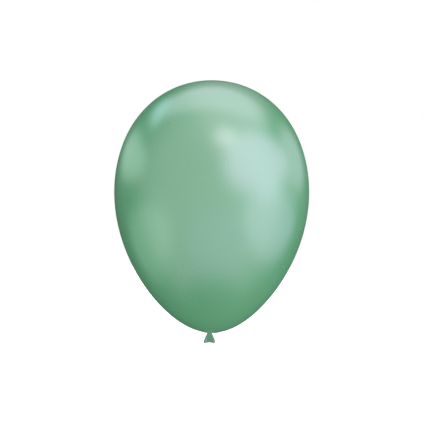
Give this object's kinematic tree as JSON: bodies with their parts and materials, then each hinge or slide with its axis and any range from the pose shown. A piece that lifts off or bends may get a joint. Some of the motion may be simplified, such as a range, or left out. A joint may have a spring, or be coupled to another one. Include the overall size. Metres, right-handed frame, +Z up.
{
  "type": "latex balloon",
  "caption": "Inflated and knotted pearl green latex balloon, upright, with its gathered neck, overhand knot and short flared tail.",
  "frame": {"origin": "the pinch in the film just under the knot, where a ribbon or stick cup holds the balloon", "axes": "+Z up from the pinch to the crown, +X to the right and -Y towards the viewer of the flat side of the tail"},
  "size_m": [0.28, 0.28, 0.3778],
  "materials": {
    "pearl_film": "satin",
    "thick_film": "satin",
    "lip_film": "satin"
  },
  "bodies": {
    "knot": {"knot": "thick_film"},
    "neck": {"neck": "thick_film"},
    "envelope": {"envelope": "pearl_film"},
    "stem": {"tail_stem": "thick_film"},
    "tail": {"tail_flare": "thick_film", "rolled_lip": "lip_film"}
  },
  "joints": [
    {"name": "neck_side_sway", "type": "hinge", "parent": "knot", "child": "neck", "pos_m": [0, 0, 0.0043], "axis": [0, 1, 0], "range_deg": [-10, 10], "stiffness_Nm_per_rad": 0.03},
    {"name": "neck_front_sway", "type": "hinge", "parent": "neck", "child": "envelope", "pos_m": [0, 0, 0.0043], "axis": [1, 0, 0], "range_deg": [-10, 10], "stiffness_Nm_per_rad": 0.03},
    {"name": "tail_swing", "type": "hinge", "parent": "knot", "child": "stem", "pos_m": [0, 0, -0.0003], "axis": [0, 1, 0], "range_deg": [-18, 18], "stiffness_Nm_per_rad": 0.0004},
    {"name": "tail_flap", "type": "hinge", "parent": "stem", "child": "tail", "pos_m": [0, 0, -0.0003], "axis": [1, 0, 0], "range_deg": [-40, 40], "stiffness_Nm_per_rad": 0.0002}
  ]
}
